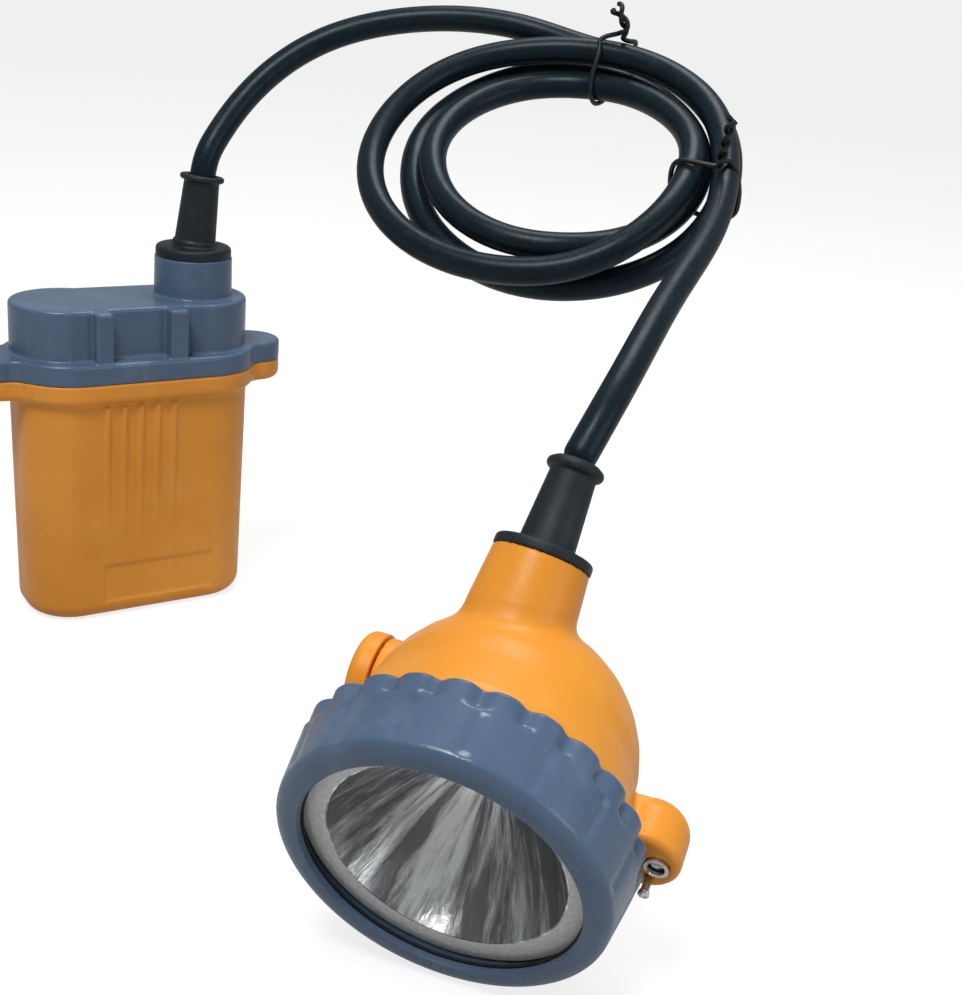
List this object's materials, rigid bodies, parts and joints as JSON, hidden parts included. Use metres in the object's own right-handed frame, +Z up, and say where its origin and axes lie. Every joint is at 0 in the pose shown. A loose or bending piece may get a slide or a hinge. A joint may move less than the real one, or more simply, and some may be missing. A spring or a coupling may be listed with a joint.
{
  "type": "miner's cap lamp",
  "caption": "Miner's cap lamp: belt battery pack with a coiled flexible cable to a round headpiece with screwed bezel, rotary switch, charging contacts and hook blade.",
  "frame": {"origin": "centre of the battery pack's base", "axes": "+Z up out of the battery pack's cover; +X along the pack's width towards its cable boss; +Y towards the pack's belt clip; the pack's plain front faces -Y"},
  "size_m": [0.2034, 0.2851, 0.2017],
  "materials": {
    "orange_plastic": "satin moulded plastic",
    "grey_plastic": "satin moulded plastic",
    "black_rubber": "matt rubber",
    "cable_jacket": "slightly shiny flexible jacket",
    "seal_rubber": "matt seal",
    "clear_lens": "polished clear",
    "mirror_bowl": "bright metallised",
    "steel": "bright plated steel",
    "brass": "turned brass",
    "aluminium": "turned aluminium",
    "cell_wrap": "shrink-wrapped cell",
    "board": "circuit board",
    "chip": "moulded component",
    "foam": "closed-cell foam",
    "led_yellow": "phosphor under clear dome",
    "nickel": "nickel strip",
    "lead_wire": "insulated wire",
    "white_plastic": "white insulator"
  },
  "bodies": {
    "pack": {"battery_case": "orange_plastic", "battery_cover": "grey_plastic", "cover_gasket": "seal_rubber", "cover_screws": "steel", "cover_inserts": "brass", "battery_cells": "cell_wrap", "cell_strips": "nickel", "cell_pads": "foam", "protection_board": "board", "protection_parts": "chip", "battery_leads": "lead_wire", "pack_cable_boot": "black_rubber", "pack_cable_tail": "cable_jacket", "pack_cable_clamp": "steel", "belt_clip": "steel", "clip_screws": "steel"},
    "cable": {"coiled_cable": "cable_jacket", "coil_tie_top": "black_rubber", "coil_tie_side": "black_rubber"},
    "headpiece": {"headpiece_housing": "orange_plastic", "bezel_oring": "seal_rubber", "reflector": "mirror_bowl", "light_emitter": "led_yellow", "star_board": "white_plastic", "heat_sink": "aluminium", "driver_board": "board", "driver_parts": "chip", "head_cable_boot": "black_rubber", "head_cable_tail": "cable_jacket", "head_cable_clamp": "white_plastic", "head_leads": "lead_wire", "switch_body": "chip", "socket_sleeve": "steel", "socket_contact": "steel", "socket_insulator": "white_plastic", "hook_blade": "steel", "hook_screws": "steel"},
    "knob": {"switch_knob": "orange_plastic", "knob_shaft": "steel"},
    "lens_pack": {"lens": "clear_lens", "lens_gasket": "seal_rubber"},
    "bezel": {"bezel_ring": "grey_plastic"},
    "charge_pin": {"contact_pin": "steel"}
  },
  "joints": [
    {"name": "cable_swing", "type": "hinge", "parent": "pack", "child": "cable", "pos_m": [0.02331, 0, 0.13807], "axis": [0.1045, 0, 0.9945], "range_deg": [-25, 25], "stiffness_Nm_per_rad": 0.2},
    {"name": "head_nod", "type": "hinge", "parent": "cable", "child": "headpiece", "pos_m": [0.03789, -0.18685, 0.10656], "axis": [0.6193, -0.7825, -0.0644], "range_deg": [-15, 15], "stiffness_Nm_per_rad": 1.5},
    {"name": "knob_turn", "type": "hinge", "parent": "headpiece", "child": "knob", "pos_m": [-0.00358, -0.17402, 0.05161], "axis": [-0.6193, 0.7825, 0.0644], "range_deg": [0, 90]},
    {"name": "bezel_rise", "type": "slide", "parent": "headpiece", "child": "lens_pack", "axis": [-0.7548, -0.5709, -0.3231], "range_m": [0, 0.00405]},
    {"name": "bezel_turn", "type": "hinge", "parent": "lens_pack", "child": "bezel", "pos_m": [-0.0176, -0.2249, 0.035], "axis": [-0.7548, -0.5709, -0.3231], "range_deg": [0, 720]},
    {"name": "pin_press", "type": "slide", "parent": "headpiece", "child": "charge_pin", "axis": [0.7548, 0.5709, 0.3231], "range_m": [0, 0.0015], "stiffness_N_per_m": 300, "springref_m": -0.0003}
  ],
  "couplings": [
    {"joint": "bezel_rise", "follows": "bezel_turn", "m_per_rad": 0.00031831}
  ]
}
